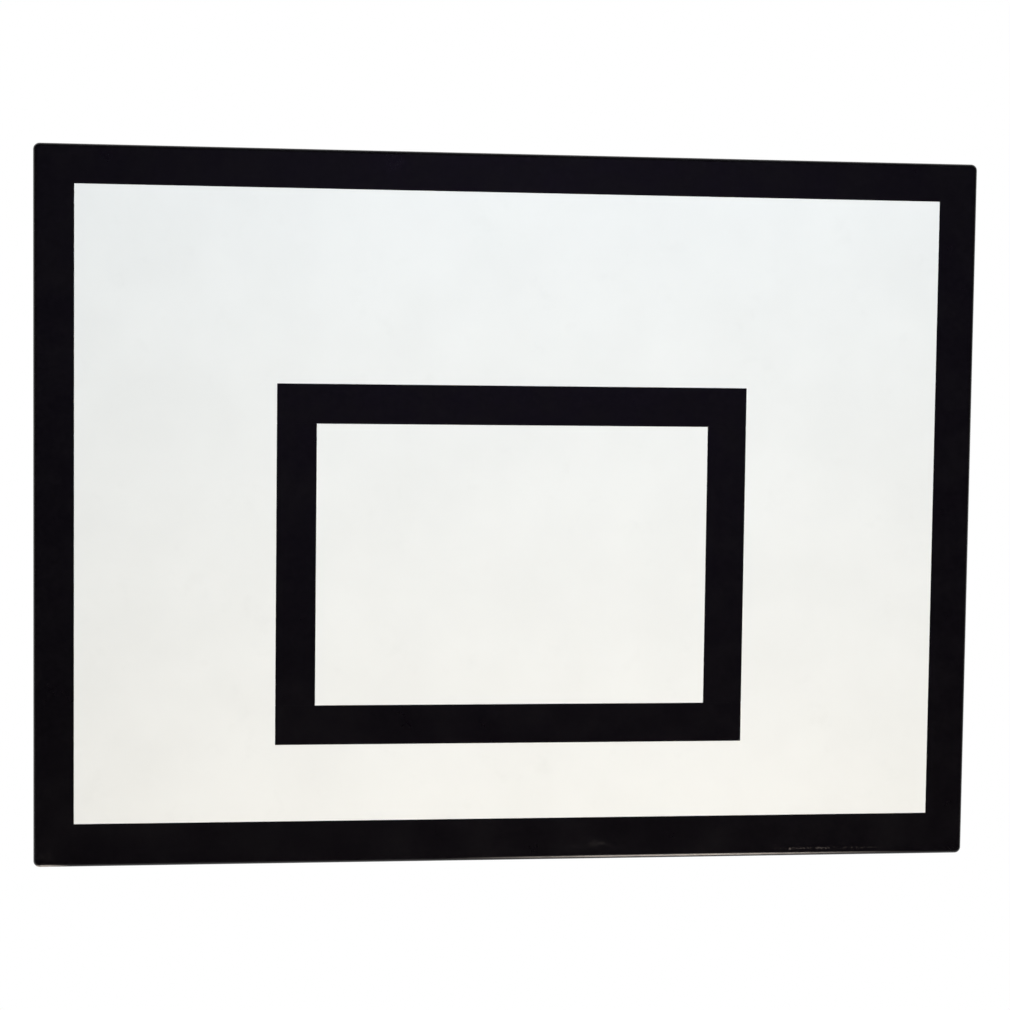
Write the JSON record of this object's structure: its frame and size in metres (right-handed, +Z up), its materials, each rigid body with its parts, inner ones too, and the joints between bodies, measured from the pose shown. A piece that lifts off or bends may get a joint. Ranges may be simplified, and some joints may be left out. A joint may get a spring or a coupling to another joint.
{
  "type": "basketball backboard",
  "caption": "Flat white rectangular basketball backboard with black border and target lines, screwed from behind to a welded square-tube frame with lugs for wall bolts.",
  "frame": {"origin": "centre of the four wall-bolt holes, on the rear plane of the lugs; the board's centre in X and Z", "axes": "+Z up, +X to the right as a player sees the board, the playing face looks towards -Y"},
  "size_m": [1.2, 0.054, 0.9],
  "materials": {
    "white_laminate": "satin",
    "black_enamel": "gloss",
    "birch_plywood": "lacquered",
    "galvanised_steel": "hot-dip galvanised",
    "zinc_fasteners": "zinc plated",
    "black_plastic": "moulded"
  },
  "bodies": {
    "root": {"front_laminate": "white_laminate", "border_band": "black_enamel", "target_line_top": "black_enamel", "target_line_bottom": "black_enamel", "target_line_left": "black_enamel", "target_line_right": "black_enamel", "plywood_core": "birch_plywood", "top_rail": "galvanised_steel", "ring_crossbar": "galvanised_steel", "ring_backing_plate": "galvanised_steel", "tab_top_centre": "galvanised_steel", "bottom_rail_left": "galvanised_steel", "stile_left": "galvanised_steel", "upright_left": "galvanised_steel", "lug_lower_left": "galvanised_steel", "lug_upper_left": "galvanised_steel", "tab_top_left": "galvanised_steel", "tab_bottom_left": "galvanised_steel", "tab_stile_left_lower": "galvanised_steel", "tab_stile_left_middle": "galvanised_steel", "tab_stile_left_upper": "galvanised_steel", "tab_upright_left_lower": "galvanised_steel", "tab_upright_left_upper": "galvanised_steel", "bottom_rail_right": "galvanised_steel", "stile_right": "galvanised_steel", "upright_right": "galvanised_steel", "lug_lower_right": "galvanised_steel", "lug_upper_right": "galvanised_steel", "tab_top_right": "galvanised_steel", "tab_bottom_right": "galvanised_steel", "tab_stile_right_lower": "galvanised_steel", "tab_stile_right_middle": "galvanised_steel", "tab_stile_right_upper": "galvanised_steel", "tab_upright_right_lower": "galvanised_steel", "tab_upright_right_upper": "galvanised_steel", "frame_welds": "galvanised_steel", "lug_welds": "galvanised_steel", "ring_plate_welds": "galvanised_steel", "tab_welds": "galvanised_steel", "coach_screws": "zinc_fasteners", "screw_washers": "zinc_fasteners", "cap_top_left": "black_plastic", "cap_bottom_left": "black_plastic", "cap_upright_left": "black_plastic", "cap_top_right": "black_plastic", "cap_bottom_right": "black_plastic", "cap_upright_right": "black_plastic"}
  },
  "joints": []
}
